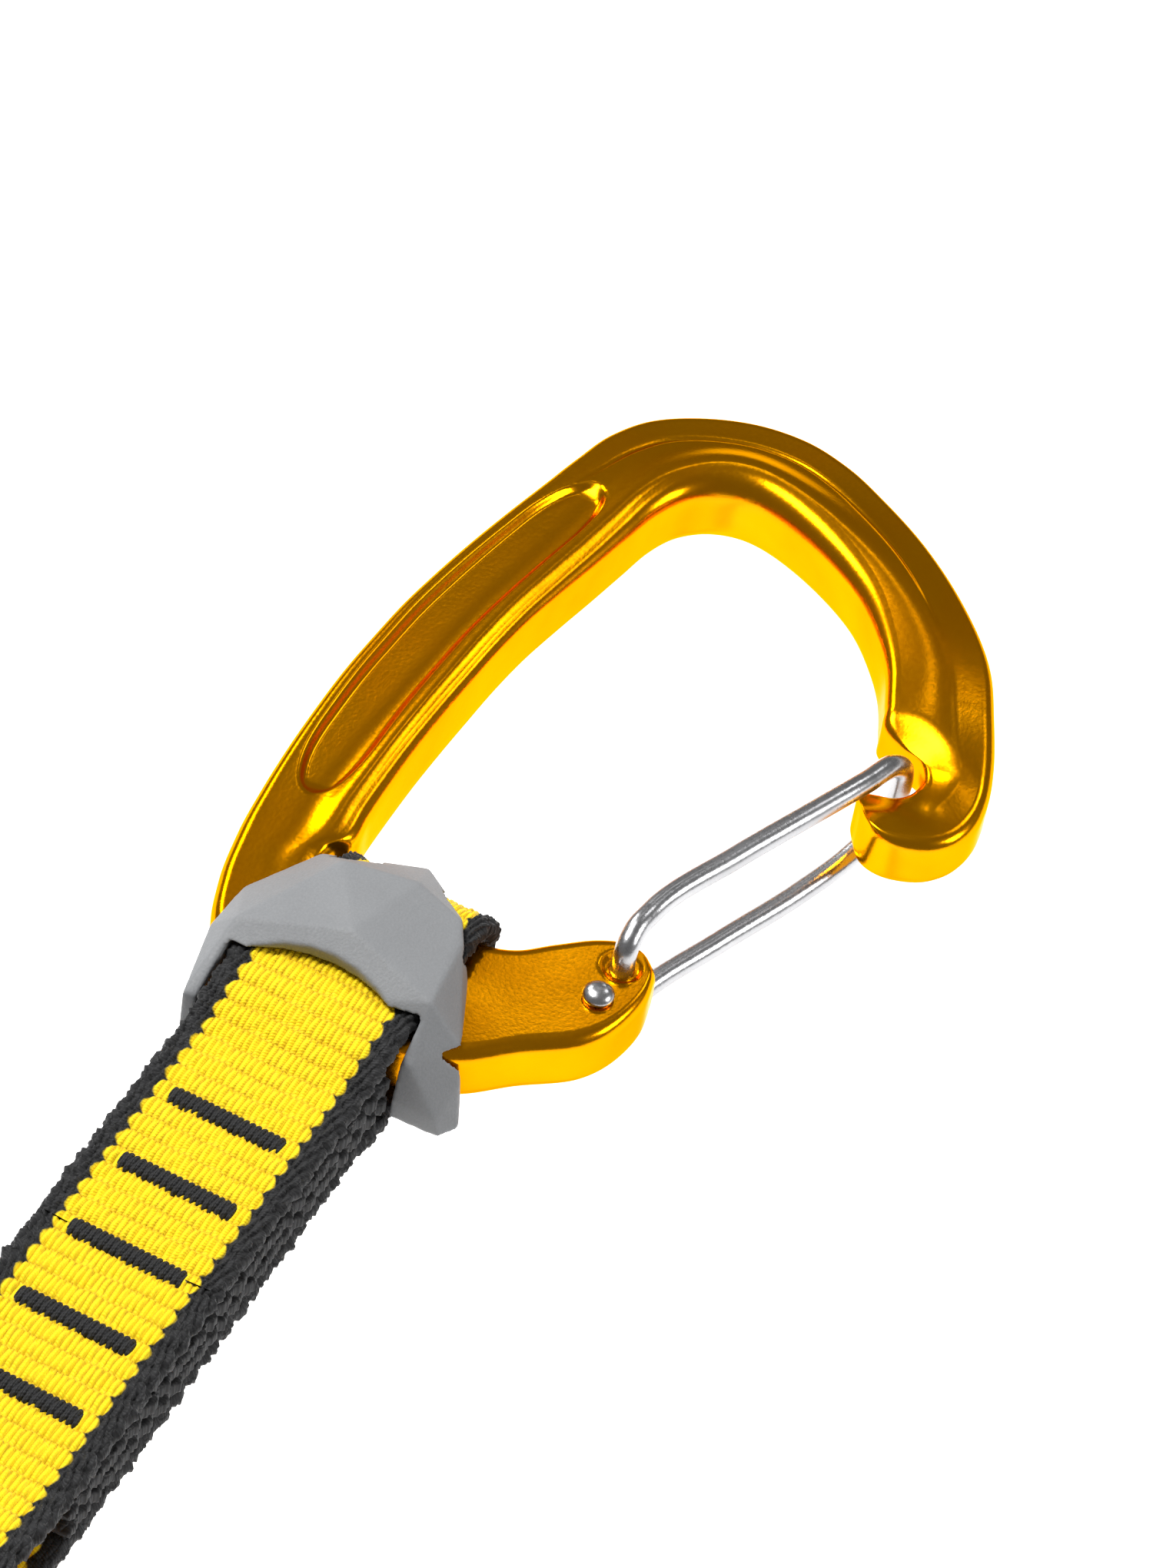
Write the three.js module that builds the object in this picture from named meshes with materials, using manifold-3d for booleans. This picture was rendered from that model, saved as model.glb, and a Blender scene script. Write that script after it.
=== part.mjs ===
// Climbing quickdraw: two wire-gate carabiners joined by a short sewn sling, with a rubber keeper on the rope end.
// Millimetres, +Z up. The quickdraw lies flat: X runs along the sling towards the rope end, Y towards the spines.
import * as THREE from 'three';
import { ConvexGeometry } from 'three/addons/geometries/ConvexGeometry.js';
import { mergeVertices } from 'three/addons/utils/BufferGeometryUtils.js';
import Module from 'manifold-3d';

const wasm = await Module();
wasm.setup();

// ---- driving dimensions -------------------------------------------------------------------------------------------
const GAP = 0.3; // air between pieces that lie against each other
const SLING = { seatX: 49.2, plyThickness: 2.2, width: 18.2, stackHalf: 4.6, barHalf: 6.0, stackEndX: 24.5, eyeX: 31.5 };
const LOOP = { centreX: 46.5, width: 15.6, offsetY: -1.4 }; // round end of the eye, and the webbing's waist there
const INNER_PLY = { halfLength: 31.4, low: 0.15, high: 2.0 };
const TACK = { count: 5, pitch: 8.6, length: 11.4, width: 2.0, proud: 0.3 };
const BODY = { half: 3.2, ridgeHalf: 4.3, round: 1.3, ridgeRound: 1.0, panelDepth: 0.7 };
const GATE = { wire: 2.2, legZ: 6.0, tipZ: 5.0, head: 1.5, slotRadius: 1.33, openDegrees: 34 };
const FRONT_PIN = [3.9, -20.9];
const REAR_PIN = [-0.6, -20.7];
const HINGE = [(FRONT_PIN[0] + REAR_PIN[0]) / 2, (FRONT_PIN[1] + REAR_PIN[1]) / 2];
const NOTCH = { x: 40.7, y: -30.6, radius: 3.3 };
const ORIGIN = { y: -11.3, z: 7.6 }; // the sling's axis as seen from the foot of the whole part's box

// ---- outlines in the carabiner's own frame: origin where the webbing bears on the bar, X to the basket -------------
const OUTER_EDGE = [
  [-9.7, -17.5], [-13.1, -13.9], [-15.0, -10.7], [-16.1, -6.2], [-16.3, -1.2], [-16.0, 4.8], [-14.8, 9.6],
  [-12.1, 12.7], [-6.4, 15.3], [-0.5, 16.7], [11.2, 18.0], [23.1, 18.4], [33.1, 17.9], [45.2, 16.3], [56.0, 14.2],
  [63.8, 12.5], [67.9, 11.0], [71.4, 8.4], [74.1, 4.6], [76.0, 0.1], [76.6, -4.8], [75.5, -9.8], [73.1, -15.2],
  [68.9, -22.1], [63.2, -28.6], [57.4, -33.7], [49.2, -38.0], [43.2, -40.3], [39.2, -41.0], [35.5, -40.4],
  [33.1, -38.4], [31.8, -35.4], [32.1, -33.0], [33.6, -31.0], [35.5, -29.9], [36.9, -29.9], [37.4, -30.6],
];
const INNER_EDGE = [
  [44.0, -30.6], [44.3, -29.2], [45.4, -27.9], [47.4, -27.1], [51.4, -25.2], [55.6, -22.0], [60.2, -17.2],
  [62.8, -11.8], [64.3, -7.9], [64.8, -4.7], [64.3, -2.2], [62.8, 0.3], [59.8, 2.2], [55.9, 3.1], [45.2, 5.2],
  [35.2, 6.8], [23.1, 7.4], [10.2, 7.3], [3.9, 6.8],
];
const SLING_SEAT = [[2.6, 8.0], [0.8, 8.2], [0, 7.3], [0, -9.6]];
const HINGE_END = [
  [1.0, -11.4], [6.4, -17.8], [7.1, -19.6], [6.9, -21.6], [5.9, -23.3], [3.8, -24.2], [0.2, -24.2], [-4.2, -23.2],
  [-6.6, -21.0],
];
const RIDGE_OUTER = [
  [5.0, 10.9], [12.3, 11.0], [23.1, 11.1], [39.2, 9.7], [53.9, 8.5], [62.0, 7.3], [66.0, 6.2], [68.4, 4.5],
  [70.4, 2.0], [71.6, -0.6], [71.9, -3.4], [71.5, -6.2], [70.5, -9.0], [68.8, -12.2], [66.4, -16.0], [62.2, -21.4],
  [56.4, -26.6],
];
const RIDGE_INNER = [
  [54.0, -25.2], [58.0, -21.8], [61.6, -17.4], [64.0, -12.2], [65.5, -8.1], [66.0, -4.7], [65.4, -1.6],
  [63.6, 1.3], [60.3, 3.4], [56.2, 4.3], [45.4, 6.4], [35.4, 8.0], [23.1, 8.6], [10.2, 8.5], [5.0, 8.2],
];
const PANEL = [
  [7.1, 14.9], [9.6, 15.7], [13.8, 16.2], [23.1, 16.6], [33.2, 16.1], [45.2, 14.5], [55.4, 12.4], [57.0, 11.6],
  [56.2, 10.0], [53.9, 8.9], [39.2, 10.1], [23.1, 11.5], [12.3, 11.4], [9.6, 12.4],
];

// ---- helpers ------------------------------------------------------------------------------------------------------
const vec2 = ([x, y]) => new THREE.Vector2(x, y);

function material(color, roughness, metalness) {
  return new THREE.MeshStandardMaterial({ color, roughness, metalness });
}

const FINISH = {
  anodised: material(0xd88a00, 0.22, 1.0),
  stainless: material(0xb9bbbd, 0.28, 1.0),
  webbing: material(0xf2cf08, 0.9, 0.0),
  innerWebbing: material(0x2f2f30, 0.95, 0.0),
  thread: material(0x262628, 0.9, 0.0),
  rubber: material(0x7b8389, 0.75, 0.0),
};

// A smooth closed outline through a list of points, sampled evenly.
function smooth(points, samples) {
  const curve = new THREE.SplineCurve(points.map(vec2));
  return curve.getSpacedPoints(samples);
}

function toSolid(geometry) {
  const bare = geometry.index ? geometry.toNonIndexed() : geometry.clone();
  bare.deleteAttribute('normal');
  bare.deleteAttribute('uv');
  const merged = mergeVertices(bare, 1e-4);
  return new wasm.Manifold(new wasm.Mesh({
    numProp: 3,
    vertProperties: new Float32Array(merged.attributes.position.array),
    triVerts: new Uint32Array(merged.index.array),
  }));
}

function toGeometry(solid) {
  const mesh = solid.getMesh();
  const geometry = new THREE.BufferGeometry();
  geometry.setAttribute('position', new THREE.BufferAttribute(new Float32Array(mesh.vertProperties), 3));
  geometry.setIndex(new THREE.BufferAttribute(new Uint32Array(mesh.triVerts), 1));
  geometry.computeVertexNormals();
  return geometry;
}

// A plate of the outline, centred on z = 0, with rounded edges that stay inside the outline.
function plate(points, half, round) {
  const geometry = new THREE.ExtrudeGeometry(new THREE.Shape(points), {
    depth: 2 * (half - round), bevelThickness: round, bevelSize: round, bevelOffset: -round,
    bevelSegments: round > 0 ? 2 : 0, bevelEnabled: round > 0, steps: 1,
  });
  geometry.translate(0, 0, round - half);
  return toSolid(geometry);
}

function block(xLow, xHigh, yLow, yHigh, zLow, zHigh) {
  const geometry = new THREE.BoxGeometry(xHigh - xLow, yHigh - yLow, zHigh - zLow);
  geometry.translate((xLow + xHigh) / 2, (yLow + yHigh) / 2, (zLow + zHigh) / 2);
  return toSolid(geometry);
}

function named(name, solid, finish) {
  const mesh = new THREE.Mesh(toGeometry(solid), finish);
  mesh.name = name;
  return mesh;
}

// ---- carabiner ----------------------------------------------------------------------------------------------------
function notchEdge() {
  const arc = new THREE.EllipseCurve(NOTCH.x, NOTCH.y, NOTCH.radius, NOTCH.radius, Math.PI, 2 * Math.PI, false);
  return arc.getPoints(10).slice(1, -1);
}

function bodyOutline() {
  return [
    ...smooth(OUTER_EDGE, 64),
    ...notchEdge(),
    ...smooth(INNER_EDGE, 36),
    ...SLING_SEAT.map(vec2),
    ...smooth(HINGE_END, 16),
  ];
}

// A slot through the hinge end: the hull of the wire's hole at rest and its hole with the gate open.
function pinSlot([x, y]) {
  const half = BODY.ridgeHalf + 1;
  const angle = THREE.MathUtils.degToRad(GATE.openDegrees);
  const pivot = new THREE.Vector2(...HINGE);
  const corners = [];
  for (const centre of [new THREE.Vector2(x, y), new THREE.Vector2(x, y).rotateAround(pivot, angle)]) {
    const rim = new THREE.EllipseCurve(centre.x, centre.y, GATE.slotRadius, GATE.slotRadius);
    for (const p of rim.getPoints(16).slice(1)) {
      corners.push(new THREE.Vector3(p.x, p.y, -half), new THREE.Vector3(p.x, p.y, half));
    }
  }
  return toSolid(new ConvexGeometry(corners));
}

function carabinerBody() {
  const ridge = plate([...smooth(RIDGE_OUTER, 24), ...smooth(RIDGE_INNER, 24)], BODY.ridgeHalf, BODY.ridgeRound);
  const panel = plate(smooth([...PANEL, PANEL[0]], 32).slice(0, -1), 2, 0);
  const depth = BODY.half - BODY.panelDepth + 2;
  return plate(bodyOutline(), BODY.half, BODY.round)
    .add(ridge)
    .subtract(panel.translate([0, 0, depth]))
    .subtract(panel.translate([0, 0, -depth]))
    .subtract(pinSlot(FRONT_PIN))
    .subtract(pinSlot(REAR_PIN));
}

// The gate's wire, from the far head of the front leg, round the nose loop, to the near head of the rear leg.
function gatePath() {
  const { legZ, tipZ } = GATE;
  const half = [[9.0, -21.0, legZ], [19.0, -24.5, legZ], [29.0, -28.4, legZ - 0.2], [35.2, -30.5, tipZ + 0.2],
    [38.9, -31.4, tipZ - 0.6], [41.0, -31.9, 2.4]];
  const front = [[...FRONT_PIN, -BODY.half], [...FRONT_PIN, 0], [...FRONT_PIN, BODY.half + 0.3],
    [4.5, -20.8, legZ - 0.8], [6.0, -20.7, legZ - 0.1]];
  const rear = [[2.2, -20.4, -legZ + 0.1], [0.3, -20.6, -legZ + 0.7], [...REAR_PIN, -BODY.half - 0.5], [...REAR_PIN, 0],
    [...REAR_PIN, BODY.half]];
  const back = half.map(([x, y, z]) => [x, y, -z]).reverse();
  const points = [...front, ...half, [41.4, -32.0, 0], ...back, ...rear];
  return new THREE.CatmullRomCurve3(points.map((p) => new THREE.Vector3(...p)), false, 'centripetal');
}

function gateWire() {
  const section = new THREE.Shape();
  section.absarc(0, 0, GATE.wire / 2, 0, 2 * Math.PI, false);
  const ring = section.getPoints(8).slice(0, -1);
  const geometry = new THREE.ExtrudeGeometry(new THREE.Shape(ring), { steps: 64, extrudePath: gatePath() });
  return toSolid(geometry);
}

// A peened wire end: a low dome on one face of the hinge end.
function peenedHead([x, y], side) {
  const { head } = GATE;
  const profile = [[0, -0.6], [GATE.wire / 2, -0.6], [GATE.wire / 2, GAP], [head, GAP], [head * 0.8, 0.7], [head * 0.4, 0.95], [0, 1.0]];
  const geometry = new THREE.LatheGeometry(profile.map(vec2), 14);
  geometry.rotateX((side * Math.PI) / 2);
  geometry.translate(x, y, side * (BODY.half - 0.05));
  return toSolid(geometry);
}

function carabinerGate() {
  return gateWire().add(peenedHead(FRONT_PIN, -1)).add(peenedHead(REAR_PIN, 1));
}

function carabiner(prefix) {
  const group = new THREE.Group();
  group.add(named(`${prefix}_carabiner_body`, carabinerBody(), FINISH.anodised));
  group.add(named(`${prefix}_carabiner_gate`, carabinerGate(), FINISH.stainless));
  return group;
}

// ---- sling --------------------------------------------------------------------------------------------------------
// Upper half of the strap's side outline at a given offset from the ply's outer face, from one eye to the other.
function strapSide(inset) {
  const { stackHalf, barHalf, stackEndX, eyeX } = SLING;
  const rising = [[stackEndX, stackHalf - inset], [stackEndX + 2.4, stackHalf + 0.25 - inset],
    [eyeX - 2.4, barHalf - 0.25 - inset], [eyeX, barHalf - inset]];
  const end = new THREE.EllipseCurve(LOOP.centreX, 0, barHalf - inset, barHalf - inset, Math.PI / 2, -Math.PI / 2, true);
  const right = [...rising.map(vec2), ...end.getPoints(14), ...rising.map(([x, z]) => vec2([x, -z])).reverse()];
  const left = right.map(({ x, y }) => new THREE.Vector2(-x, -y));
  return [...right, ...left].reverse();
}

// The strap seen from above, grown by a margin: full width, narrowing to a waist where it turns round the bars.
function strapPlan(grow) {
  const { seatX } = SLING;
  const half = SLING.width / 2 + grow;
  const top = LOOP.offsetY + LOOP.width / 2 + grow;
  const bottom = LOOP.offsetY - LOOP.width / 2 - grow;
  const corners = [[seatX - 13, half], [seatX - 6, top], [seatX + 5, top], [seatX + 5, bottom], [seatX - 6, bottom],
    [seatX - 13, -half]];
  const mirrored = corners.map(([x, y]) => [-x, y]).reverse();
  return plate([...corners, ...mirrored].map(vec2), 10, 0);
}

function tackX(index) {
  return (index - (TACK.count - 1) / 2) * TACK.pitch;
}

function tackBlock(index, grow) {
  const x = tackX(index);
  const y = TACK.length / 2 + grow;
  const z = SLING.stackHalf + TACK.proud + 10 * grow;
  return block(x - TACK.width / 2 - grow, x + TACK.width / 2 + grow, -y, y, -z, z);
}

function cutTackSlots(solid) {
  let result = solid;
  for (let index = 0; index < TACK.count; index += 1) {
    result = result.subtract(tackBlock(index, GAP));
  }
  return result;
}

function slingStrap() {
  const ring = new THREE.Shape(strapSide(0));
  ring.holes.push(new THREE.Path(strapSide(SLING.plyThickness)));
  const geometry = new THREE.ExtrudeGeometry(ring, { depth: SLING.width, bevelEnabled: false });
  geometry.rotateX(Math.PI / 2);
  geometry.translate(0, SLING.width / 2, 0);
  return cutTackSlots(toSolid(geometry).intersect(strapPlan(0)));
}

function innerPly(side) {
  const { halfLength, low, high } = INNER_PLY;
  const half = SLING.width / 2;
  const zs = side > 0 ? [low, high] : [-high, -low];
  return cutTackSlots(block(-halfLength, halfLength, -half, half, ...zs));
}

function sling() {
  const group = new THREE.Group();
  group.add(named('sling_strap', slingStrap(), FINISH.webbing));
  group.add(named('sling_inner_ply_upper', innerPly(1), FINISH.innerWebbing));
  group.add(named('sling_inner_ply_lower', innerPly(-1), FINISH.innerWebbing));
  for (let index = 0; index < TACK.count; index += 1) {
    group.add(named(`bar_tack_${index + 1}`, tackBlock(index, 0), FINISH.thread));
  }
  return group;
}

// ---- keeper -------------------------------------------------------------------------------------------------------
// Corners of the faceted rubber, in the rope carabiner's frame. The wings run back along both edges of the webbing.
const KEEPER_TOP = [
  [-13.4, 9.8, 7.4], [-10.3, -0.2, 8.9], [-12.8, -9.7, 7.4], [-2.8, 4.8, 8.0], [-1.3, -2.2, 8.0],
  [-2.6, -7.4, 7.2], [-4.6, -8.6, 7.0], [-21.1, 10.7, 3.8], [-13.2, 12.4, 4.5], [-7.4, 12.2, 4.2],
  [-0.7, 8.0, 5.0], [4.8, -0.5, 3.0], [0.6, -6.0, 4.0], [-6.2, -10.2, 4.3], [-12.8, -13.2, 3.5],
  [-17.2, -10.5, 3.3], [-21.1, 10.7, -0.4], [-13.2, 12.4, -0.4], [1.8, 6.0, -0.4], [4.8, -0.5, -0.4],
  [0.6, -6.0, -0.4], [-12.8, -13.2, -0.4], [-14.4, -14.2, 0.6], [-17.0, -9.5, -3.8],
  [-17.6, -13.6, -1.6], [-17.6, -14.2, -3.6], [-15.8, -15.3, -3.6],
];
const KEEPER_FOOT = [
  [-13.0, 9.4, -7.6], [-13.0, -9.4, -7.6], [-3.5, 8.6, -7.6], [-3.0, -8.4, -7.6], [1.0, 0, -7.6],
  [-14.4, 11.2, -4.4], [-14.4, -11.2, -4.4], [-5.0, 11.2, -4.4], [-5.0, -11.2, -4.4], [4.8, -0.5, -3.0],
  [1.8, 6.0, 0.4], [0.6, -6.0, 0.4], [4.8, -0.5, 0.4], [-5.0, 0, 0.4],
];

function hull(points) {
  return toSolid(new ConvexGeometry(points.map((p) => new THREE.Vector3(...p))));
}

// The room the webbing takes up: a flat channel with a round end, a little larger than the eye.
function webbingChannel() {
  const y = SLING.width / 2 + GAP;
  const z = SLING.barHalf + GAP;
  const endX = LOOP.centreX - SLING.seatX;
  const end = new THREE.CylinderGeometry(z, z, 2 * y, 28);
  end.translate(endX, 0, 0);
  const room = block(-40, endX, -y, y, -z, z).add(toSolid(end));
  return room.intersect(strapPlan(GAP).translate([-SLING.seatX, 0, 0]));
}

// The room the carabiner takes up: its bar, the start of the spine, and the hinge end, whose outer side slants.
function barPocket() {
  const z = BODY.half + GAP;
  const slant = [[-16.7, -4], [-15.7, -9.6], [-13.6, -14.1], [-10.1, -18.2], [2.4, -18.2], [2.4, -4]];
  const hinge = hull(slant.flatMap(([x, y]) => [[x, y, -z], [x, y, z]])).intersect(block(-20, 2.4, -20, -9.2, -z, z));
  return block(-16.7, 0.3, -9.25, 20, -z, z).add(block(0, 3.2, 7.6, 20, -z, z)).add(hinge);
}

function keeper() {
  const channelY = SLING.width / 2 + GAP;
  const arch = new THREE.CylinderGeometry(12.5, 12.5, 12, 32);
  arch.rotateX(Math.PI / 2);
  arch.translate(-25.3, 0, 6);
  const archCut = toSolid(arch).intersect(block(-45, 0, -channelY, channelY, 0, 12));
  const room = webbingChannel().add(barPocket()).add(archCut);
  return hull(KEEPER_TOP).add(hull(KEEPER_FOOT)).subtract(room);
}

// ---- assembly -----------------------------------------------------------------------------------------------------
function quickdraw() {
  const part = new THREE.Group();
  const rope = carabiner('rope');
  rope.add(named('keeper', keeper(), FINISH.rubber));
  rope.position.x = SLING.seatX;
  const bolt = carabiner('bolt');
  bolt.rotation.y = Math.PI;
  bolt.position.x = -SLING.seatX;
  part.add(rope, bolt, sling());
  part.position.set(0, -ORIGIN.y, ORIGIN.z);
  return part;
}

export default quickdraw();
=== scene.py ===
"""Climbing quickdraw: two anodised wire-gate carabiners on a short sewn sling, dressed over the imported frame.

Every length in the classes is in millimetres. A carabiner is drawn in its own link frame, whose origin is
where the webbing bears on the bar, X to the basket and Y to the spine, and is then placed by the frame's
boxes.
"""

from __future__ import annotations

import logging
import math
from dataclasses import dataclass, field
from enum import Enum
from typing import Sequence

import bmesh
import bpy
import numpy as np
from mathutils import Matrix, Vector


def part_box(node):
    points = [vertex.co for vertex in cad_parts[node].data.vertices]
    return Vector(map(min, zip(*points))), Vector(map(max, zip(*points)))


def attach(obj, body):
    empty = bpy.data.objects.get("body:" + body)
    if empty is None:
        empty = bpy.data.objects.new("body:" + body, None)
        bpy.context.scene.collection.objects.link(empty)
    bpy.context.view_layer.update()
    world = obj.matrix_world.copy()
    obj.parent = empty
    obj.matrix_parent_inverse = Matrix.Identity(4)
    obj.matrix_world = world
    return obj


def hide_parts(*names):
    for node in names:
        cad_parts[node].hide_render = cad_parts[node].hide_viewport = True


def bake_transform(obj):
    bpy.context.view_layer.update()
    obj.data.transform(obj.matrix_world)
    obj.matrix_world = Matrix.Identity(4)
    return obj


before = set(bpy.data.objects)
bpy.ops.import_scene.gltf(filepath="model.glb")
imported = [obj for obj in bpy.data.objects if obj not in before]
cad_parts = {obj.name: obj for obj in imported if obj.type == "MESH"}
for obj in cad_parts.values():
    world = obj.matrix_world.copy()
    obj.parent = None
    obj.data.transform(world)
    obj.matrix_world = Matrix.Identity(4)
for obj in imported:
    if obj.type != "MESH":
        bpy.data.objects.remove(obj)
LOG = logging.getLogger("quickdraw")
MM = 0.001
Array = np.ndarray
Colour = tuple[float, float, float]
OVERSAMPLE = 40

# Sizes that more than one piece shares, in millimetres: the webbing's ribs, warp yarns and centre, the
# hinge end's half-thickness, the two holes for the gate's legs, and how far the body's outline reaches
# along X.
RIB_PITCH = 2.15
WARP_PITCH = 0.60
CENTRE_HALF = 6.9
BODY_HALF = 3.2
FRONT_PIN = (3.9, -20.9)
REAR_PIN = (-0.6, -20.7)
OUTLINE_X = (-16.3, 76.6)

# A colour Mix node's sockets: its two colours and its result.
MIX_LOW, MIX_HIGH, MIX_RESULT = 6, 7, 2


# ---- curves and grids ----------------------------------------------------------------------------
def unit(v: Array) -> Array:
    """Vectors of length one, along the last axis."""
    return v / np.maximum(np.linalg.norm(v, axis=-1, keepdims=True), 1e-12)


def ramp(x: Array, low: float, high: float) -> Array:
    """A smooth step: 0 below low, 1 above high, and 3t^2 - 2t^3 between them."""
    t = np.clip((x - low) / (high - low), 0.0, 1.0)
    return t * t * (3.0 - 2.0 * t)


def band(x: Array, low: float, high: float, soft: float) -> Array:
    """1 between low and high, 0 outside, with smooth shoulders as wide as soft."""
    return ramp(x, low - soft / 2, low + soft / 2) * (1.0 - ramp(x, high - soft / 2, high + soft / 2))


def hill(x: Array, centre: Array | float, spread: Array | float) -> Array:
    """A bell curve of height 1: e to the power of minus the square of the distance over the spread."""
    return np.exp(-(((x - centre) / spread) ** 2))


def squared(wave: Array, power: float) -> Array:
    """A sine or cosine pushed towards 1 and -1: its size to a power below 1, with its sign kept."""
    return np.sign(wave) * np.abs(wave) ** power


def away(xy: Array, spot: Sequence[float]) -> Array:
    """How far points in plan are from a spot."""
    return np.hypot(xy[..., 0] - spot[0], xy[..., 1] - spot[1])


def through(values: Array, knots: Array, at: Array) -> Array:
    """A cubic Hermite curve through values at knots, with three-point tangents.

    Args:
        values: the points, one row each.
        knots: the parameter of each point, rising.
        at: the parameters to read.

    Returns:
        One row for each parameter.
    """
    step = np.diff(knots)
    slope = np.diff(values, axis=0) / step[:, None]
    inner = (slope[1:] * step[:-1, None] + slope[:-1] * step[1:, None]) / (step[1:] + step[:-1])[:, None]
    tangent = np.vstack([slope[:1], inner, slope[-1:]])
    i = np.clip(np.searchsorted(knots, at, side="right") - 1, 0, len(knots) - 2)
    h = step[i][:, None]
    t = ((at - knots[i]) / step[i])[:, None]
    return (
        (2 * t**3 - 3 * t**2 + 1) * values[i]
        + (t**3 - 2 * t**2 + t) * h * tangent[i]
        + (3 * t**2 - 2 * t**3) * values[i + 1]
        + (t**3 - t**2) * h * tangent[i + 1]
    )


def chords(points: Array) -> Array:
    """The running length along a row of points."""
    return np.concatenate([[0.0], np.cumsum(np.linalg.norm(np.diff(points, axis=0), axis=1))])


def resampled(points: Array, count: int) -> Array:
    """A smooth curve through the points, as count points at even steps along it."""
    knots = chords(points)
    rough = through(points, knots, np.linspace(0, knots[-1], OVERSAMPLE * len(points)))
    run = chords(rough)
    even = np.linspace(0, run[-1], count)
    return np.stack([np.interp(even, run, rough[:, k]) for k in range(points.shape[1])], axis=1)


@dataclass
class Shell:
    """One closed surface: corners in millimetres, faces, and a UV pair for each face corner."""

    points: Array
    faces: list[Array]
    uvs: list[Array] = field(default_factory=list)


def tube_shell(grid: Array, uv: Array | None = None) -> Shell:
    """A grid closed round its second direction, with a fan over each end.

    The vertex at row i, column j joins row i + 1 and column j + 1, the last column joining the first.

    Args:
        grid: rows by columns by 3, in millimetres.
        uv: rows by columns + 1 by 2, in millimetres along and across.

    Returns:
        The closed shell.
    """
    rows, cols = grid.shape[:2]
    i, j = np.meshgrid(np.arange(rows - 1), np.arange(cols), indexing="ij")
    right = (j + 1) % cols
    corners = [i * cols + j, i * cols + right, (i + 1) * cols + right, (i + 1) * cols + j]
    if uv is None:
        uv = np.zeros((rows, cols + 1, 2))
    corner_uv = np.stack([uv[i, j], uv[i, j + 1], uv[i + 1, j + 1], uv[i + 1, j]], axis=2)
    points = grid.reshape(-1, 3)
    faces, uvs = [np.stack(corners, axis=-1).reshape(-1, 4)], [corner_uv.reshape(-1, 4, 2)]
    k = np.arange(cols)
    for row, flip in ((0, True), (rows - 1, False)):
        pole = np.full(cols, len(points))
        points = np.vstack([points, grid[row].mean(axis=0)])
        a, b = row * cols + k, row * cols + (k + 1) % cols
        faces.append(np.stack([b, a, pole] if flip else [a, b, pole], axis=-1))
        uvs.append(np.repeat(uv[row, :cols][:, None, :], 3, axis=1))
    return Shell(points, faces, uvs)


def make_mesh(name: str, shells: Sequence[Shell]) -> bpy.types.Object:
    """One mesh object, in metres, from closed shells in millimetres, with every face turned outwards.

    Args:
        name: the piece's name.
        shells: the closed surfaces it is made of.

    Returns:
        The object, linked to the scene.
    """
    points, loops, sizes, uvs, offset = [], [], [], [], 0
    for shell in shells:
        points.append(shell.points)
        for faces, corner_uv in zip(shell.faces, shell.uvs):
            loops.append((faces + offset).ravel())
            sizes.append(np.full(len(faces), faces.shape[1]))
            uvs.append(corner_uv.reshape(-1, 2))
        offset += len(shell.points)
    co, loop, size = np.vstack(points) * MM, np.concatenate(loops), np.concatenate(sizes)
    mesh = bpy.data.meshes.new(name)
    mesh.vertices.add(len(co))
    mesh.vertices.foreach_set("co", co.astype(np.float32).ravel())
    mesh.loops.add(len(loop))
    mesh.loops.foreach_set("vertex_index", loop.astype(np.int32))
    mesh.polygons.add(len(size))
    mesh.polygons.foreach_set("loop_start", (np.cumsum(size) - size).astype(np.int32))
    mesh.update(calc_edges=True)
    layer = mesh.uv_layers.new(name="UVMap")
    layer.data.foreach_set("uv", np.vstack(uvs).astype(np.float32).ravel())
    mesh.validate()
    obj = bpy.data.objects.new(name, mesh)
    bpy.context.scene.collection.objects.link(obj)
    turn_outwards(obj)
    mesh.polygons.foreach_set("use_smooth", np.ones(len(mesh.polygons), bool))
    mesh.update()
    return obj


def turn_outwards(obj: bpy.types.Object) -> None:
    """Turns the faces of a closed mesh so that its normals point out."""
    work = bmesh.new()
    work.from_mesh(obj.data)
    bmesh.ops.recalc_face_normals(work, faces=work.faces)
    work.to_mesh(obj.data)
    work.free()


def apply_modifiers(obj: bpy.types.Object) -> None:
    """Makes the modified shape the object's own mesh and drops the modifiers."""
    graph = bpy.context.evaluated_depsgraph_get()
    mesh = bpy.data.meshes.new_from_object(obj.evaluated_get(graph), depsgraph=graph)
    obj.modifiers.clear()
    obj.data = mesh


def sweep(path: Array, radius: float, side: Array, count: int) -> Shell:
    """A round wire: a circle square to the path at each point, turned by a side vector it never runs along.

    Args:
        path: points in millimetres.
        radius: the wire's radius.
        side: a direction never parallel to the path.
        count: corners round the wire.

    Returns:
        The closed shell, with UVs in millimetres.
    """
    tangent = unit(np.gradient(path, axis=0))
    across = unit(side - (tangent @ side)[:, None] * tangent)
    third = np.cross(tangent, across)
    turn = np.linspace(0, 2 * np.pi, count + 1)
    ring = across[:, None] * np.cos(turn[:-1])[:, None] + third[:, None] * np.sin(turn[:-1])[:, None]
    uv = np.stack(np.meshgrid(chords(path), turn * radius, indexing="ij"), axis=-1)
    return tube_shell(path[:, None] + radius * ring, uv)


def lathe(profile: Array, centre: Array, up: float, count: int) -> Shell:
    """A turned shape: the profile's (radius, height) pairs carried round an upright line through centre."""
    turn = np.linspace(0, 2 * np.pi, count, endpoint=False)
    radius, height = profile[:, 0][:, None], profile[:, 1][:, None] * up
    ring = [radius * np.cos(turn), radius * np.sin(turn), height + 0 * turn]
    return tube_shell(np.stack(ring, axis=-1) + centre)


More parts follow.
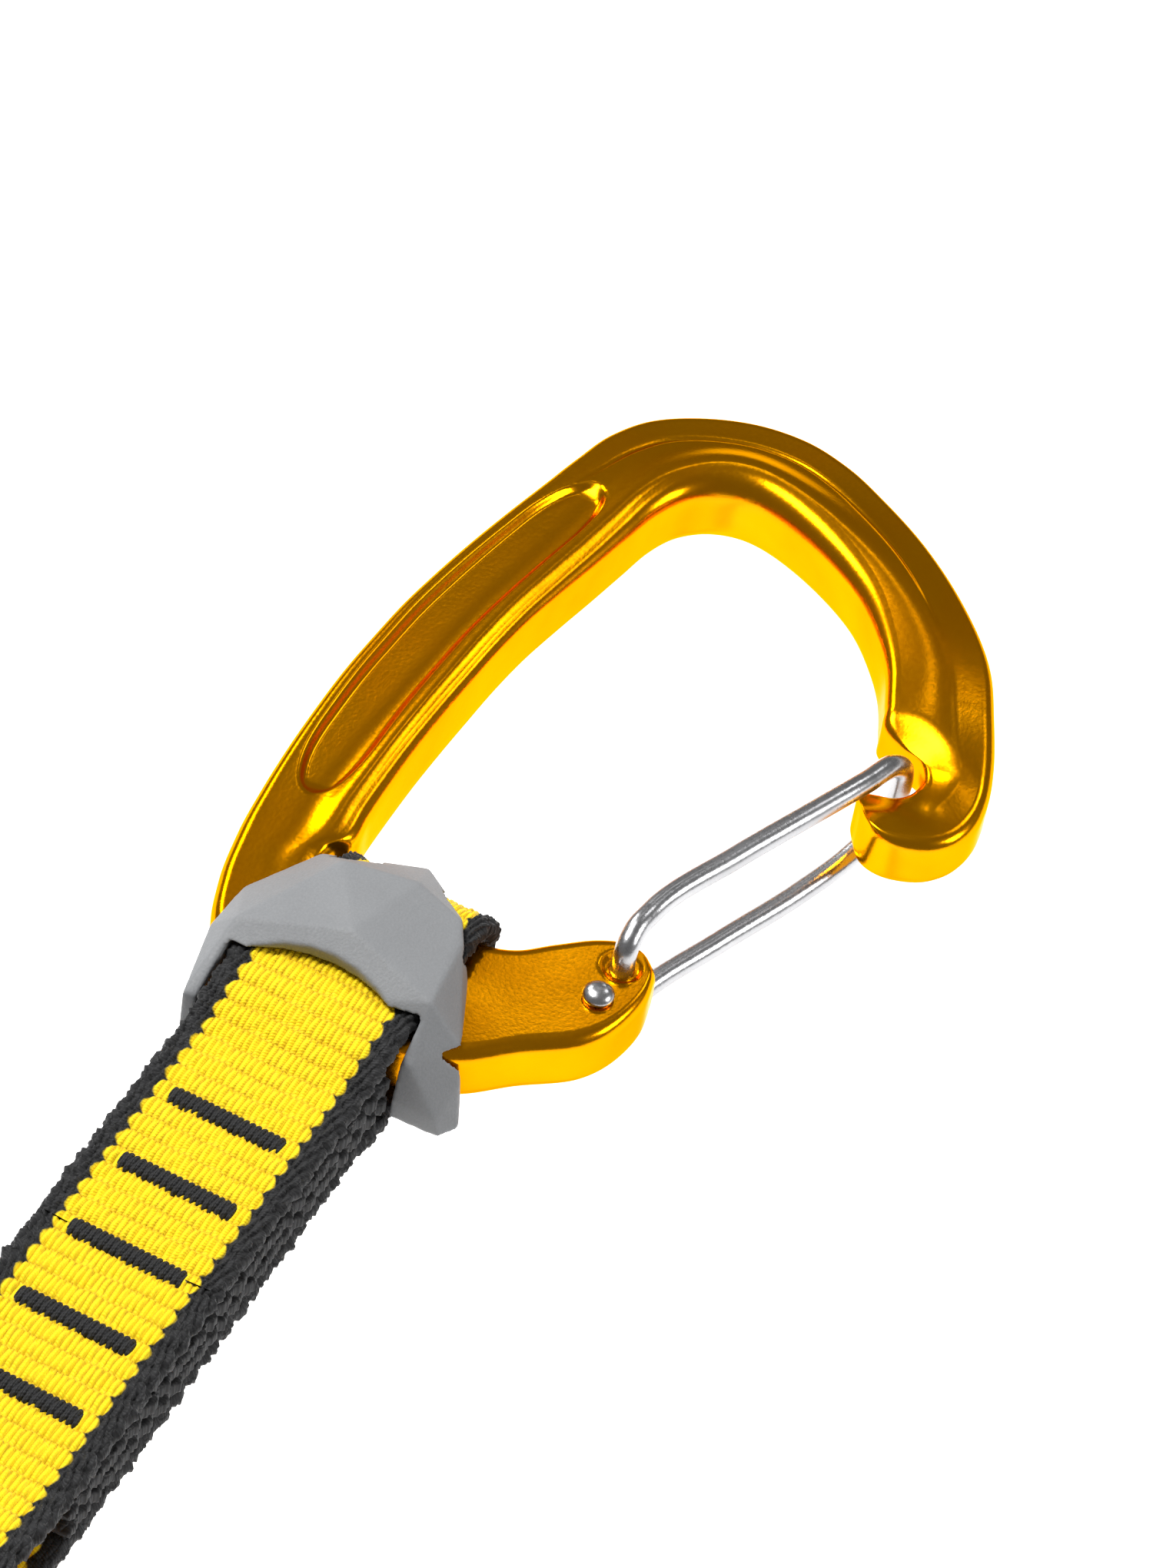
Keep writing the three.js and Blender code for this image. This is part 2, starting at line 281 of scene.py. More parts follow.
# ---- finishes ------------------------------------------------------------------------------------
class Slot(Enum):
    """The record's material slots."""

    ANODISED = "anodised"
    STAINLESS = "stainless"
    WEBBING = "webbing"
    INNER_WEBBING = "inner_webbing"
    THREAD = "thread"
    RUBBER = "rubber"


class Graph:
    """A small writer of shader nodes."""

    def __init__(self, tree: bpy.types.NodeTree) -> None:
        """Starts on an empty tree."""
        self.tree = tree
        tree.nodes.clear()

    def node(self, kind: str, **settings: object) -> bpy.types.Node:
        """A node of that kind, with its plain properties set."""
        made = self.tree.nodes.new(kind)
        for key, value in settings.items():
            setattr(made, key, value)
        return made

    def link(self, source: bpy.types.NodeSocket, target: bpy.types.NodeSocket) -> None:
        """Joins two sockets."""
        self.tree.links.new(source, target)

    def math(self, operation: str, *inputs: object) -> bpy.types.NodeSocket:
        """A Math node, whose inputs are sockets or numbers."""
        made = self.node("ShaderNodeMath", operation=operation)
        for socket, value in zip(made.inputs, inputs):
            if isinstance(value, bpy.types.NodeSocket):
                self.link(value, socket)
            else:
                socket.default_value = value
        return made.outputs[0]

    def wave(self, operation: str, turn: bpy.types.NodeSocket, power: float) -> bpy.types.NodeSocket:
        """The absolute SINE or COSINE of turn times pi, raised to a power."""
        angle = self.math("MULTIPLY", turn, math.pi)
        return self.math("POWER", self.math("ABSOLUTE", self.math(operation, angle)), power)

    def clamp(self, value: bpy.types.NodeSocket) -> bpy.types.NodeSocket:
        """A value held between 0 and 1."""
        return self.math("MINIMUM", self.math("MAXIMUM", value, 0.0), 1.0)

    def group(self, tree: bpy.types.NodeTree, **values: float) -> bpy.types.Node:
        """A shared group's node, with its value inputs set."""
        made = self.node("ShaderNodeGroup", node_tree=tree)
        for key, value in values.items():
            made.inputs[key].default_value = value
        return made

    def blend(self, mask: bpy.types.NodeSocket, low: object, high: object) -> bpy.types.NodeSocket:
        """A colour that goes from low to high with a mask, where each end is a colour or a socket."""
        made = self.node("ShaderNodeMix", data_type="RGBA")
        self.link(mask, made.inputs["Factor"])
        for index, end in ((MIX_LOW, low), (MIX_HIGH, high)):
            if isinstance(end, bpy.types.NodeSocket):
                self.link(end, made.inputs[index])
            else:
                made.inputs[index].default_value = (*end, 1.0)
        return made.outputs[MIX_RESULT]

    def span(self, mask: bpy.types.NodeSocket, low: float, high: float) -> bpy.types.NodeSocket:
        """A mask from 0 to 1 made a value from low to high."""
        made = self.node("ShaderNodeMapRange")
        self.link(mask, made.inputs["Value"])
        made.inputs["To Min"].default_value = low
        made.inputs["To Max"].default_value = high
        return made.outputs[0]


def new_group(
    name: str, inputs: dict[str, float], outputs: Sequence[str]
) -> tuple[bpy.types.NodeTree, Graph]:
    """A shader node group with plain value sockets.

    Args:
        name: the group's name.
        inputs: each input's name and default.
        outputs: each output's name.

    Returns:
        The group and its writer.
    """
    group = bpy.data.node_groups.new(name, "ShaderNodeTree")
    for key, value in inputs.items():
        socket = group.interface.new_socket(name=key, in_out="INPUT", socket_type="NodeSocketFloat")
        socket.default_value = value
    for key in outputs:
        group.interface.new_socket(name=key, in_out="OUTPUT", socket_type="NodeSocketFloat")
    return group, Graph(group)


def grain_group() -> bpy.types.NodeTree:
    """Cloudy grain at two sizes on Object coordinates: a coarse drift and a fine speck.

    Each runs from about 0 to 1, the noise being stretched by 1.6 about its middle.
    """
    group, graph = new_group("grain", {"Coarse": 60.0, "Fine": 1500.0}, ["Drift", "Speck"])
    source = graph.node("NodeGroupInput")
    sink = graph.node("NodeGroupOutput")
    place = graph.node("ShaderNodeTexCoord")
    for size, result, detail in (("Coarse", "Drift", 3.0), ("Fine", "Speck", 2.0)):
        noise = graph.node("ShaderNodeTexNoise")
        noise.inputs["Detail"].default_value = detail
        graph.link(place.outputs["Object"], noise.inputs["Vector"])
        graph.link(source.outputs[size], noise.inputs["Scale"])
        graph.link(graph.math("MULTIPLY_ADD", noise.outputs["Fac"], 1.6, -0.3), sink.inputs[result])
    return group


def weave_group() -> bpy.types.NodeTree:
    """Ribbed webbing on the UV map, whose U runs along it and V across it, both in millimetres.

    A rib lies across the webbing for every pitch of U: the absolute cosine. Warp yarns cross each rib, as
    the absolute sine of V over their own pitch, shifted by half a yarn on every other rib. ValleyShade is 1
    where both are low: it is painted shade for the weave's hollows. Edge is 1 on the selvedges, whose border
    bulges with the ribs. Yarn is a fine slanting twist.
    """
    sizes = {"Pitch": RIB_PITCH, "Warp": WARP_PITCH, "Centre": CENTRE_HALF}
    group, graph = new_group("weave", sizes, ["Height", "ValleyShade", "Edge", "Yarn"])
    source, sink = graph.node("NodeGroupInput"), graph.node("NodeGroupOutput")
    pitch, warp_pitch, centre = (source.outputs[key] for key in sizes)
    uv = graph.node("ShaderNodeUVMap", uv_map="UVMap")
    axes = graph.node("ShaderNodeSeparateXYZ")
    graph.link(uv.outputs["UV"], axes.inputs[0])
    along, across = axes.outputs[0], axes.outputs[1]
    over = graph.math("SUBTRACT", graph.math("ABSOLUTE", across), centre)
    slant = graph.math("MULTIPLY", graph.math("MAXIMUM", over, 0.0), 0.5)
    turn = graph.math("DIVIDE", graph.math("ADD", along, slant), pitch)
    rib = graph.wave("COSINE", turn, 0.7)
    lane = graph.math("MODULO", graph.math("FLOOR", graph.math("ADD", turn, 100.5)), 2.0)
    half_yarn = graph.math("MULTIPLY", lane, 0.5)
    warp = graph.wave("SINE", graph.math("ADD", graph.math("DIVIDE", across, warp_pitch), half_yarn), 0.6)
    twist = graph.math("ADD", graph.math("MULTIPLY", along, 7.0), graph.math("MULTIPLY", across, 3.1))
    yarn = graph.math("SINE", graph.math("MULTIPLY", twist, math.pi))
    yarn = graph.math("MULTIPLY_ADD", yarn, 0.5, 0.5)
    height = graph.math("MULTIPLY_ADD", warp, 0.50, graph.math("MULTIPLY", rib, 0.30))
    height = graph.math("MULTIPLY_ADD", yarn, 0.20, height)
    rib_up = graph.math("MULTIPLY_ADD", rib, 0.45, 0.55)
    warp_up = graph.math("MULTIPLY_ADD", warp, 0.55, 0.45)
    # Painted shade: this mask darkens the webbing's colour where the ribs and the warp yarns are low, in the
    # weave's hollows.
    valley_shade = graph.clamp(graph.math("MULTIPLY_ADD", graph.math("MULTIPLY", rib_up, warp_up), -1.6, 1.3))
    wobble = graph.math("MULTIPLY", graph.math("SUBTRACT", rib, 0.6), -0.7)
    edge = graph.clamp(graph.math("MULTIPLY_ADD", graph.math("ADD", over, wobble), 4.0, 0.5))
    for name, socket in (("Height", height), ("ValleyShade", valley_shade), ("Edge", edge), ("Yarn", yarn)):
        graph.link(socket, sink.inputs[name])
    return group


@dataclass(frozen=True)
class Groups:
    """The shared node groups."""

    grain: bpy.types.NodeTree
    weave: bpy.types.NodeTree


@dataclass(frozen=True)
class Metal:
    """A bare or anodised metal: a colour with a slight drift, and a roughness with faint specks.

    Coarse and fine are the grain's scales, wave is the drift's share of the height, and depth is the
    bump's, in metres.
    """

    name: str
    colour: Colour
    shade: Colour
    roughness: tuple[float, float]
    bump: float
    wave: float = 0.0
    tint: Colour = (1.0, 1.0, 1.0)
    coarse: float = 90.0
    fine: float = 2600.0
    depth: float = 0.00004

    def build(self, groups: Groups) -> bpy.types.Material:
        """The material, with drift in its colour, specks in its roughness, and both in its height."""
        material, graph, shader = blank_material(self.name)
        grain = graph.group(groups.grain, Coarse=self.coarse, Fine=self.fine)
        drift, speck = grain.outputs["Drift"], grain.outputs["Speck"]
        graph.link(graph.blend(drift, self.colour, self.shade), shader.inputs["Base Color"])
        rough = graph.math("MULTIPLY_ADD", speck, 0.4, graph.math("MULTIPLY", drift, 0.6))
        graph.link(graph.span(rough, *self.roughness), shader.inputs["Roughness"])
        shader.inputs["Metallic"].default_value = 1.0
        shader.inputs["Specular Tint"].default_value = (*self.tint, 1.0)
        height = graph.math("MULTIPLY_ADD", drift, self.wave, speck)
        add_bump(graph, shader, height, self.bump, self.depth)
        return material


@dataclass(frozen=True)
class Webbing:
    """Ribbed nylon webbing, with a centre and selvedges of their own colours, each darkened by painted shade in
    its valleys.
    """

    name: str
    centre: Colour
    centre_shade: Colour
    edge: Colour
    edge_shade: Colour
    centre_half: float = CENTRE_HALF
    pitch: float = RIB_PITCH
    warp: float = WARP_PITCH
    coarse: float = 220.0
    fine: float = 3200.0
    roughness: tuple[float, float] = (0.62, 0.82)
    sheen: float = 0.12
    sheen_roughness: float = 0.4
    specular: float = 0.3
    bump: float = 0.75
    depth: float = 0.00022

    def build(self, groups: Groups) -> bpy.types.Material:
        """The material: colours by the weave's edge mask, painted shade in its valleys, and the weave as bump.
        """
        material, graph, shader = blank_material(self.name)
        weave = graph.group(groups.weave, Centre=self.centre_half, Pitch=self.pitch, Warp=self.warp)
        grain = graph.group(groups.grain, Coarse=self.coarse, Fine=self.fine)
        # The darker colours come in with random fine specks and with the painted shade of the weave's valleys.
        speck_and_valley_shade = graph.math("MULTIPLY_ADD", grain.outputs["Speck"], 0.35, weave.outputs["ValleyShade"])
        centre = graph.blend(speck_and_valley_shade, self.centre, self.centre_shade)
        edge = graph.blend(speck_and_valley_shade, self.edge, self.edge_shade)
        graph.link(graph.blend(weave.outputs["Edge"], centre, edge), shader.inputs["Base Color"])
        graph.link(graph.span(weave.outputs["Yarn"], *self.roughness), shader.inputs["Roughness"])
        shader.inputs["Sheen Weight"].default_value = self.sheen
        shader.inputs["Sheen Roughness"].default_value = self.sheen_roughness
        shader.inputs["Specular IOR Level"].default_value = self.specular
        add_bump(graph, shader, weave.outputs["Height"], self.bump, self.depth)
        return material


@dataclass(frozen=True)
class Rubber:
    """Matte moulded rubber with a fine spark-eroded grain."""

    name: str
    colour: Colour
    shade: Colour
    coarse: float = 150.0
    fine: float = 4200.0
    roughness: tuple[float, float] = (0.5, 0.68)
    specular: float = 0.4
    bump: float = 0.35
    depth: float = 0.00006

    def build(self, groups: Groups) -> bpy.types.Material:
        """The material, mottled faintly and rough all over."""
        material, graph, shader = blank_material(self.name)
        grain = graph.group(groups.grain, Coarse=self.coarse, Fine=self.fine)
        drift, speck = grain.outputs["Drift"], grain.outputs["Speck"]
        tone = graph.math("MULTIPLY_ADD", speck, 0.5, graph.math("MULTIPLY", drift, 0.5))
        graph.link(graph.blend(tone, self.colour, self.shade), shader.inputs["Base Color"])
        graph.link(graph.span(tone, *self.roughness), shader.inputs["Roughness"])
        shader.inputs["Specular IOR Level"].default_value = self.specular
        add_bump(graph, shader, speck, self.bump, self.depth)
        return material


def blank_material(name: str) -> tuple[bpy.types.Material, Graph, bpy.types.Node]:
    """A new material with a Principled shader joined to its output."""
    material = bpy.data.materials.new(name)
    material.use_nodes = True
    graph = Graph(material.node_tree)
    shader = graph.node("ShaderNodeBsdfPrincipled")
    output = graph.node("ShaderNodeOutputMaterial")
    graph.link(shader.outputs["BSDF"], output.inputs["Surface"])
    return material, graph, shader


def add_bump(
    graph: Graph, shader: bpy.types.Node, height: bpy.types.NodeSocket, strength: float, distance: float
) -> None:
    """Feeds a height to the shader's normal, over a distance in metres."""
    bump = graph.node("ShaderNodeBump")
    bump.inputs["Strength"].default_value = strength
    bump.inputs["Distance"].default_value = distance
    graph.link(height, bump.inputs["Height"])
    graph.link(bump.outputs["Normal"], shader.inputs["Normal"])


class Finishes:
    """Every finish of the quickdraw, built once."""

    def __init__(self) -> None:
        """Builds the shared groups and then each material."""
        groups = Groups(grain_group(), weave_group())
        # The second yellow and the second charcoal are the webbing's darker tones, reached through random
        # specks and through painted shade in the weave's valleys.
        yellow, yellow_speck_and_shade = (1.0, 0.74, 0.003), (0.62, 0.36, 0.0)
        charcoal, charcoal_speck_and_shade = (0.020, 0.020, 0.021), (0.004, 0.004, 0.004)
        self.gold = Metal(
            "gold_anodising", (0.95, 0.39, 0.002), (0.82, 0.28, 0.001), (0.15, 0.27), 0.14,
            wave=6.0, tint=(1.0, 0.72, 0.12),
        ).build(groups)
        self.wire = Metal(
            "bright_wire", (0.56, 0.56, 0.57), (0.42, 0.42, 0.43), (0.18, 0.36), 0.25
        ).build(groups)
        self.webbing = Webbing("ribbed_webbing", yellow, yellow_speck_and_shade, charcoal, charcoal_speck_and_shade).build(groups)
        self.inner = Webbing("inner_webbing", charcoal, charcoal_speck_and_shade, charcoal, charcoal_speck_and_shade).build(groups)
        self.thread = Webbing(
            "tack_thread", charcoal, charcoal_speck_and_shade, charcoal, charcoal_speck_and_shade, centre_half=99.0, pitch=9.0, warp=0.26
        ).build(groups)
        self.rubber = Rubber("grey_rubber", (0.240, 0.246, 0.253), (0.185, 0.190, 0.196)).build(groups)


def dress(obj: bpy.types.Object, material: bpy.types.Material) -> None:
    """Gives an object one material."""
    obj.data.materials.clear()
    obj.data.materials.append(material)


# ---- carabiner -----------------------------------------------------------------------------------
class Link(Enum):
    """The two carabiners: which end each is on, and whether it is turned half a turn about Y."""

    ROPE = "rope"
    BOLT = "bolt"

    @property
    def way(self) -> float:
        """1 for the rope end, which lies along +X, and -1 for the bolt end."""
        return 1.0 if self is Link.ROPE else -1.0


# Edge points from the hinge end round the bar, spine, basket and arm to the nose: outer x, y, inner x, y.
STATIONS = np.array([
    (5.3, -23.8, 6.9, -22.0), (2.0, -24.4, 7.1, -19.6), (-2.0, -23.9, 6.0, -17.2),
    (-5.6, -22.2, 3.6, -14.4), (-9.7, -17.5, 0.9, -11.4), (-13.1, -13.9, 0.05, -8.8),
    (-15.2, -9.6, 0.0, -5.6), (-16.2, -4.6, 0.0, -2.2), (-16.2, 1.0, 0.0, 1.4),
    (-15.9, 5.2, 0.0, 4.6), (-14.7, 9.8, 0.0, 7.0), (-12.1, 12.7, 0.5, 8.1),
    (-6.4, 15.3, 2.5, 8.1), (-0.5, 16.7, 4.2, 6.9), (5.5, 17.5, 8.0, 7.2),
    (11.2, 18.0, 12.5, 7.4), (17.2, 18.3, 18.0, 7.5), (23.1, 18.4, 23.3, 7.4),
    (28.5, 18.2, 28.2, 7.2), (33.6, 17.9, 33.0, 6.95), (39.4, 17.2, 38.4, 6.4),
    (45.2, 16.3, 43.6, 5.5), (50.6, 15.3, 48.8, 4.5), (56.0, 14.2, 53.8, 3.6),
    (61.0, 13.2, 58.0, 2.8), (65.8, 12.0, 61.2, 1.5), (70.2, 9.5, 63.3, -0.4),
    (73.6, 5.4, 64.4, -2.4), (76.0, 0.1, 64.8, -4.7), (76.6, -4.8, 64.5, -7.0),
    (75.6, -9.8, 63.6, -10.0), (73.1, -15.2, 61.9, -13.9), (69.3, -21.5, 59.3, -18.2),
    (63.9, -28.0, 55.8, -21.9), (57.6, -33.6, 51.6, -25.1), (51.8, -36.7, 47.4, -27.1),
    (46.6, -39.1, 45.0, -28.2), (43.2, -40.3, 44.0, -30.4), (41.0, -40.8, 43.2, -32.8),
    (39.0, -41.0, 41.2, -33.95), (37.0, -40.8, 39.2, -33.6), (34.9, -40.0, 37.8, -32.2),
    (33.1, -38.4, 37.45, -30.8), (32.1, -36.4, 36.9, -29.9), (31.8, -34.6, 35.5, -29.75),
    (32.1, -33.0, 34.6, -30.4), (32.9, -31.7, 33.7, -31.0),
])

# Station; half-thickness at the outer and inner edge; crown; ridge height, distance from the inner edge and
# spread; how far the outer flange drops, and its width; the rounding of the outer and of the inner edge.
PROFILE = np.array([
    (0, 3.2, 3.2, 0.0, 0.0, 4.0, 3.0, 0.0, 3.0, 1.2, 1.2),
    (4, 3.2, 3.2, 0.0, 0.0, 4.0, 3.0, 0.0, 3.0, 1.4, 1.4),
    (8, 3.15, 2.9, 0.2, 0.0, 4.0, 3.0, 0.0, 2.0, 1.6, 2.3),
    (11, 3.1, 2.9, 0.1, 0.2, 3.4, 2.4, 0.0, 1.7, 1.5, 1.9),
    (14, 3.1, 2.95, 0.0, 0.85, 2.5, 1.9, 0.0, 1.7, 1.2, 1.4),
    (22, 3.1, 2.95, 0.0, 0.9, 2.5, 1.9, 0.0, 1.9, 1.2, 1.4),
    (25, 3.1, 2.9, 0.0, 1.2, 2.9, 2.4, 0.35, 3.6, 1.1, 2.2),
    (27, 3.0, 2.8, 0.0, 1.6, 3.3, 2.8, 0.6, 4.0, 1.0, 2.9),
    (30, 3.0, 2.8, 0.0, 1.6, 3.4, 2.9, 0.6, 4.2, 1.0, 2.9),
    (32, 3.1, 2.9, 0.1, 1.2, 3.9, 3.4, 0.35, 4.2, 1.1, 2.3),
    (34, 3.1, 3.0, 0.3, 0.7, 5.0, 4.0, 0.0, 4.2, 1.3, 1.3),
    (37, 3.2, 3.0, 0.1, 0.0, 5.0, 4.0, 0.0, 4.0, 1.4, 1.2),
    (46, 3.0, 2.8, 0.0, 0.0, 5.0, 4.0, 0.0, 4.0, 1.2, 1.1),
])


@dataclass
class CarabinerBody:
    """The forged body, lofted between its outer and inner edges, with a ridge, a flange and spine panels.

    A reach is the pair of distances over which a sunk place fades out.
    """

    link: Link
    rows: int = 560
    end_rows: int = 10
    top_columns: int = 50
    round_columns: int = 8
    end_round: float = 1.4
    end_drop: float = 1.25
    round_share: float = 0.42
    flange_soft: float = 0.35
    groove_spread: float = 0.45
    panel_stretch: tuple[float, float] = (14.1, 23.6)
    panel_across: tuple[float, float] = (1.8, 7.2)
    panel_depth: float = 0.75
    panel_taper: float = 1.6
    panel_wall: float = 0.4
    panel_end_wall: tuple[float, float] = (-0.35, 0.15)
    notch: tuple[float, float, float] = (40.7, -30.6, 3.3)
    notch_depth: float = 1.0
    notch_reach: tuple[float, float] = (-0.5, 3.6)
    dimple: tuple[float, float] = (36.6, -35.4)
    dimple_depth: float = 0.35
    dimple_spread: float = 1.4
    recess_depth: float = 0.5
    recess_reach: tuple[float, float] = (1.4, 2.1)
    hole_radius: float = 1.16
    hole_corners: int = 48
    cutter_half: float = 6.0

    def rim(self) -> tuple[Array, Array, Array, Array]:
        """The outer and inner edge, the station number and the distance to the nearer end, for each row."""
        moves = np.diff(STATIONS, axis=0)
        step = (np.linalg.norm(moves[:, :2], axis=1) + np.linalg.norm(moves[:, 2:], axis=1)) / 2
        knots = np.concatenate([[0.0], np.cumsum(step)])
        end = knots[-1]
        at = np.concatenate([
            np.linspace(0, self.end_round, self.end_rows)[:-1],
            np.linspace(self.end_round, end - self.end_round, self.rows),
            np.linspace(end - self.end_round, end, self.end_rows)[1:],
        ])
        edges = through(STATIONS, knots, at)
        station = np.interp(at, knots, np.arange(len(STATIONS)))
        return edges[:, :2], edges[:, 2:], station, np.minimum(at, end - at)

    def height(self, d: Array, width: Array, station: Array, p: Array, xy: Array, upper: bool) -> Array:
        """The half-thickness of a face.

        A smooth run from the outer to the inner edge's thickness, plus a parabola for the crown and a bell
        for the ridge, less the flange's step with a fine groove at its foot, less the panel, the funnel
        round the notch, the dimple, and, on the upper face, the recess round the gate's front leg.

        Args:
            d: distance from the outer edge.
            width: the body's width at each row.
            station: the station number at each row.
            p: the profile's values at each row.
            xy: the points in plan.
            upper: whether this is the face that the gate's front leg comes out of.

        Returns:
            The height at each point.
        """
        outer, inner, crown, ridge, ridge_at, ridge_spread, drop, flange = (p[:, k][:, None] for k in range(8))
        a = d / width
        z = outer + (inner - outer) * ramp(a, 0, 1) + crown * 4 * a * (1 - a)
        z = z + ridge * hill(width - d, ridge_at, ridge_spread)
        z = z - drop * (1 - ramp(d - flange, -self.flange_soft, self.flange_soft))
        z = z - 0.5 * drop * hill(d, flange, self.groove_spread)
        z = z - self.panel_depth * self.panel(d, station)
        z = z - self.notch_depth * (1 - ramp(away(xy, self.notch) - self.notch[2], *self.notch_reach))
        z = z - self.dimple_depth * hill(away(xy, self.dimple), 0.0, self.dimple_spread)
        if upper:
            z = z - self.recess_depth * (1 - ramp(away(xy, FRONT_PIN), *self.recess_reach))
        return z

    def panel(self, d: Array, station: Array) -> Array:
        """The spine panel's mask: a long slot that narrows along an ellipse over its two tapering ends."""
        middle, half = sum(self.panel_across) / 2, (self.panel_across[1] - self.panel_across[0]) / 2
        start, end = self.panel_stretch
        past = np.abs(station - (start + end) / 2) - (end - start) / 2
        t = np.clip(past / self.panel_taper + 1, 0, 1)
        beyond = np.abs(d - middle) - half * np.sqrt(1 - t ** 2)
        return (1 - ramp(beyond, -self.panel_wall, self.panel_wall)) * (1 - ramp(past, *self.panel_end_wall))

    def loft(self) -> Shell:
        """The skin: at each row a closed section of two faces, four rounded edges and two upright walls.

        A rounded edge is a quarter circle of radius r, whose top meets the face at distance r from the
        edge. Near the two ends of the body every height shrinks along a quarter circle as well.
        """
        outer, inner, station, from_end = self.rim()
        width = np.linalg.norm(inner - outer, axis=1)[:, None]
        across = (inner - outer)[:, None] / width[..., None]
        p = through(PROFILE[:, 1:], PROFILE[:, 0], station)
        round_o = np.minimum(p[:, 8][:, None], self.round_share * width)
        round_i = np.minimum(p[:, 9][:, None], self.round_share * width)
        quarter = np.linspace(0, np.pi / 2, self.round_columns)
        run = np.linspace(0, 1, self.top_columns)[1:-1]
        d_face = round_o + run * (width - round_o - round_i)
        t = np.clip(from_end / self.end_round, 0, 1)[:, None]
        keep = 1 - (self.end_drop / BODY_HALF) * (1 - np.sqrt(np.clip(1 - (1 - t) ** 2, 0, 1)))
        none = 0 * width

        def face(at: Array, upper: bool) -> Array:
            """The height of one face at distances from the outer edge."""
            return self.height(at, width, station[:, None], p, outer[:, None] + across * at[..., None], upper)

        heights = []
        for upper in (True, False):
            z_o, z_i = face(round_o, upper), face(width - round_i, upper)
            z = np.hstack([
                none, 0.5 * (z_o - round_o), z_o - round_o * (1 - np.sin(quarter)), face(d_face, upper),
                z_i - round_i * (1 - np.sin(quarter[::-1])), 0.5 * (z_i - round_i), none,
            ])
            heights.append(z * keep)
        z_up, z_low = heights
        d = np.hstack([
            none, none, round_o * (1 - np.cos(quarter)), d_face,
            width - round_i * (1 - np.cos(quarter[::-1])), width, width,
        ])
        d = np.hstack([d, d[:, -2:0:-1]])
        z = np.hstack([z_up, -z_low[:, -2:0:-1]])
        xy = outer[:, None] + across * d[..., None]
        return tube_shell(np.concatenate([xy, z[..., None]], axis=-1))

    def hole_cutter(self, pin: tuple[float, float]) -> Shell:
        """An upright round prism through the hinge end, a hair wider than the wire."""
        turn = np.linspace(0, 2 * np.pi, self.hole_corners, endpoint=False)
        rim = np.array(pin) + self.hole_radius * np.stack([np.cos(turn), np.sin(turn)], axis=1)
        ends = (-self.cutter_half, self.cutter_half)
        return tube_shell(np.stack([np.column_stack([rim, np.full(len(rim), z)]) for z in ends]))

    def build(self, placement: Placement) -> bpy.types.Object:
        """The placed body with its two holes cut through."""
        obj = make_mesh(f"{self.link.value}_body_forging", [placement.put(self.loft())])
        for pin in (FRONT_PIN, REAR_PIN):
            cutter = make_mesh("hole_cutter", [placement.put(self.hole_cutter(pin))])
            cut = obj.modifiers.new("hole", "BOOLEAN")
            cut.operation, cut.solver, cut.object = "DIFFERENCE", "EXACT", cutter
            apply_modifiers(obj)
            bpy.data.objects.remove(cutter, do_unlink=True)
        return obj


@dataclass
class WireGate:
    """The gate: one bent wire with two peened heads.

    Its legs run at leg above and below the middle plane and come in to tip at the nose. Blend_x, with
    hinge_y, gives two points on the hinge end, which nothing uses.
    """

    link: Link
    wire: float = 2.2
    leg: float = 6.0
    tip: float = 5.0
    path_points: int = 520
    wire_corners: int = 28
    head_corners: int = 40
    side: tuple[float, float, float] = (0.36, 0.93, 0.0)
    hinge_y: float = -21.0
    blend_x: tuple[float, float] = (4.6, 15.0)

    def path(self) -> Array:
        """The wire's middle line, from the front leg's head round the nose loop to the rear leg's head."""
        leg, tip, half = self.leg, self.tip, BODY_HALF
        run = [
            (9.0, -21.0, leg), (19.0, -24.5, leg), (29.0, -28.4, leg - 0.2), (35.2, -30.5, tip + 0.2),
            (38.9, -31.4, tip - 0.6), (41.0, -31.9, 2.4),
        ]
        front = [
            (*FRONT_PIN, -half), (*FRONT_PIN, 0.0), (*FRONT_PIN, half + 0.3),
            (4.5, -20.8, leg - 0.8), (6.0, -20.7, leg - 0.1),
        ]
        rear = [
            (2.2, -20.4, 0.1 - leg), (0.3, -20.6, 0.7 - leg),
            (*REAR_PIN, -half - 0.5), (*REAR_PIN, 0.0), (*REAR_PIN, half),
        ]
        back = [(x, y, -z) for x, y, z in reversed(run)]
        return resampled(np.array([*front, *run, (41.4, -32.0, 0.0), *back, *rear]), self.path_points)

    def head(self, pin: tuple[float, float], side: float) -> Shell:
        """A low peened dome: a bell-shaped cap on a short stem."""
        r = self.wire / 2
        profile = np.array([
            (0.05, -0.6), (r, -0.6), (r, 0.18), (1.38, 0.2), (1.48, 0.3), (1.5, 0.42), (1.44, 0.62),
            (1.27, 0.84), (1.0, 1.03), (0.65, 1.16), (0.3, 1.21), (0.02, 1.22),
        ])
        return lathe(profile, np.array([*pin, side * BODY_HALF]), side, self.head_corners)

    def build(self, placement: Placement) -> bpy.types.Object:
        """The placed gate."""
        wire = sweep(self.path(), self.wire / 2, unit(np.array(self.side)), self.wire_corners)
        shells = [wire, self.head(FRONT_PIN, -1.0), self.head(REAR_PIN, 1.0)]
        return make_mesh(f"{self.link.value}_gate_wire", [placement.put(shell) for shell in shells])


@dataclass
class Placement:
    """Puts a link frame into the row frame."""

    origin: Array
    way: float

    def put(self, shell: Shell) -> Shell:
        """The shell moved to its origin, turned half a turn about Y where way is -1."""
        turned = shell.points * np.array([self.way, 1.0, self.way])
        return Shell(turned + self.origin, shell.faces, shell.uvs)


def link_placement(link: Link) -> Placement:
    """Where a carabiner lies: its outline's middle is put on the middle of its CAD node's box."""
    low, high = (np.array(c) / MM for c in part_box(f"{link.value}_carabiner_body"))
    edge_y = STATIONS[:, 1]
    middle = np.array([sum(OUTLINE_X) / 2 * link.way, (edge_y.max() + edge_y.min()) / 2, 0.0])
    centre = (low + high) / 2
    return Placement(centre - middle, link.way)


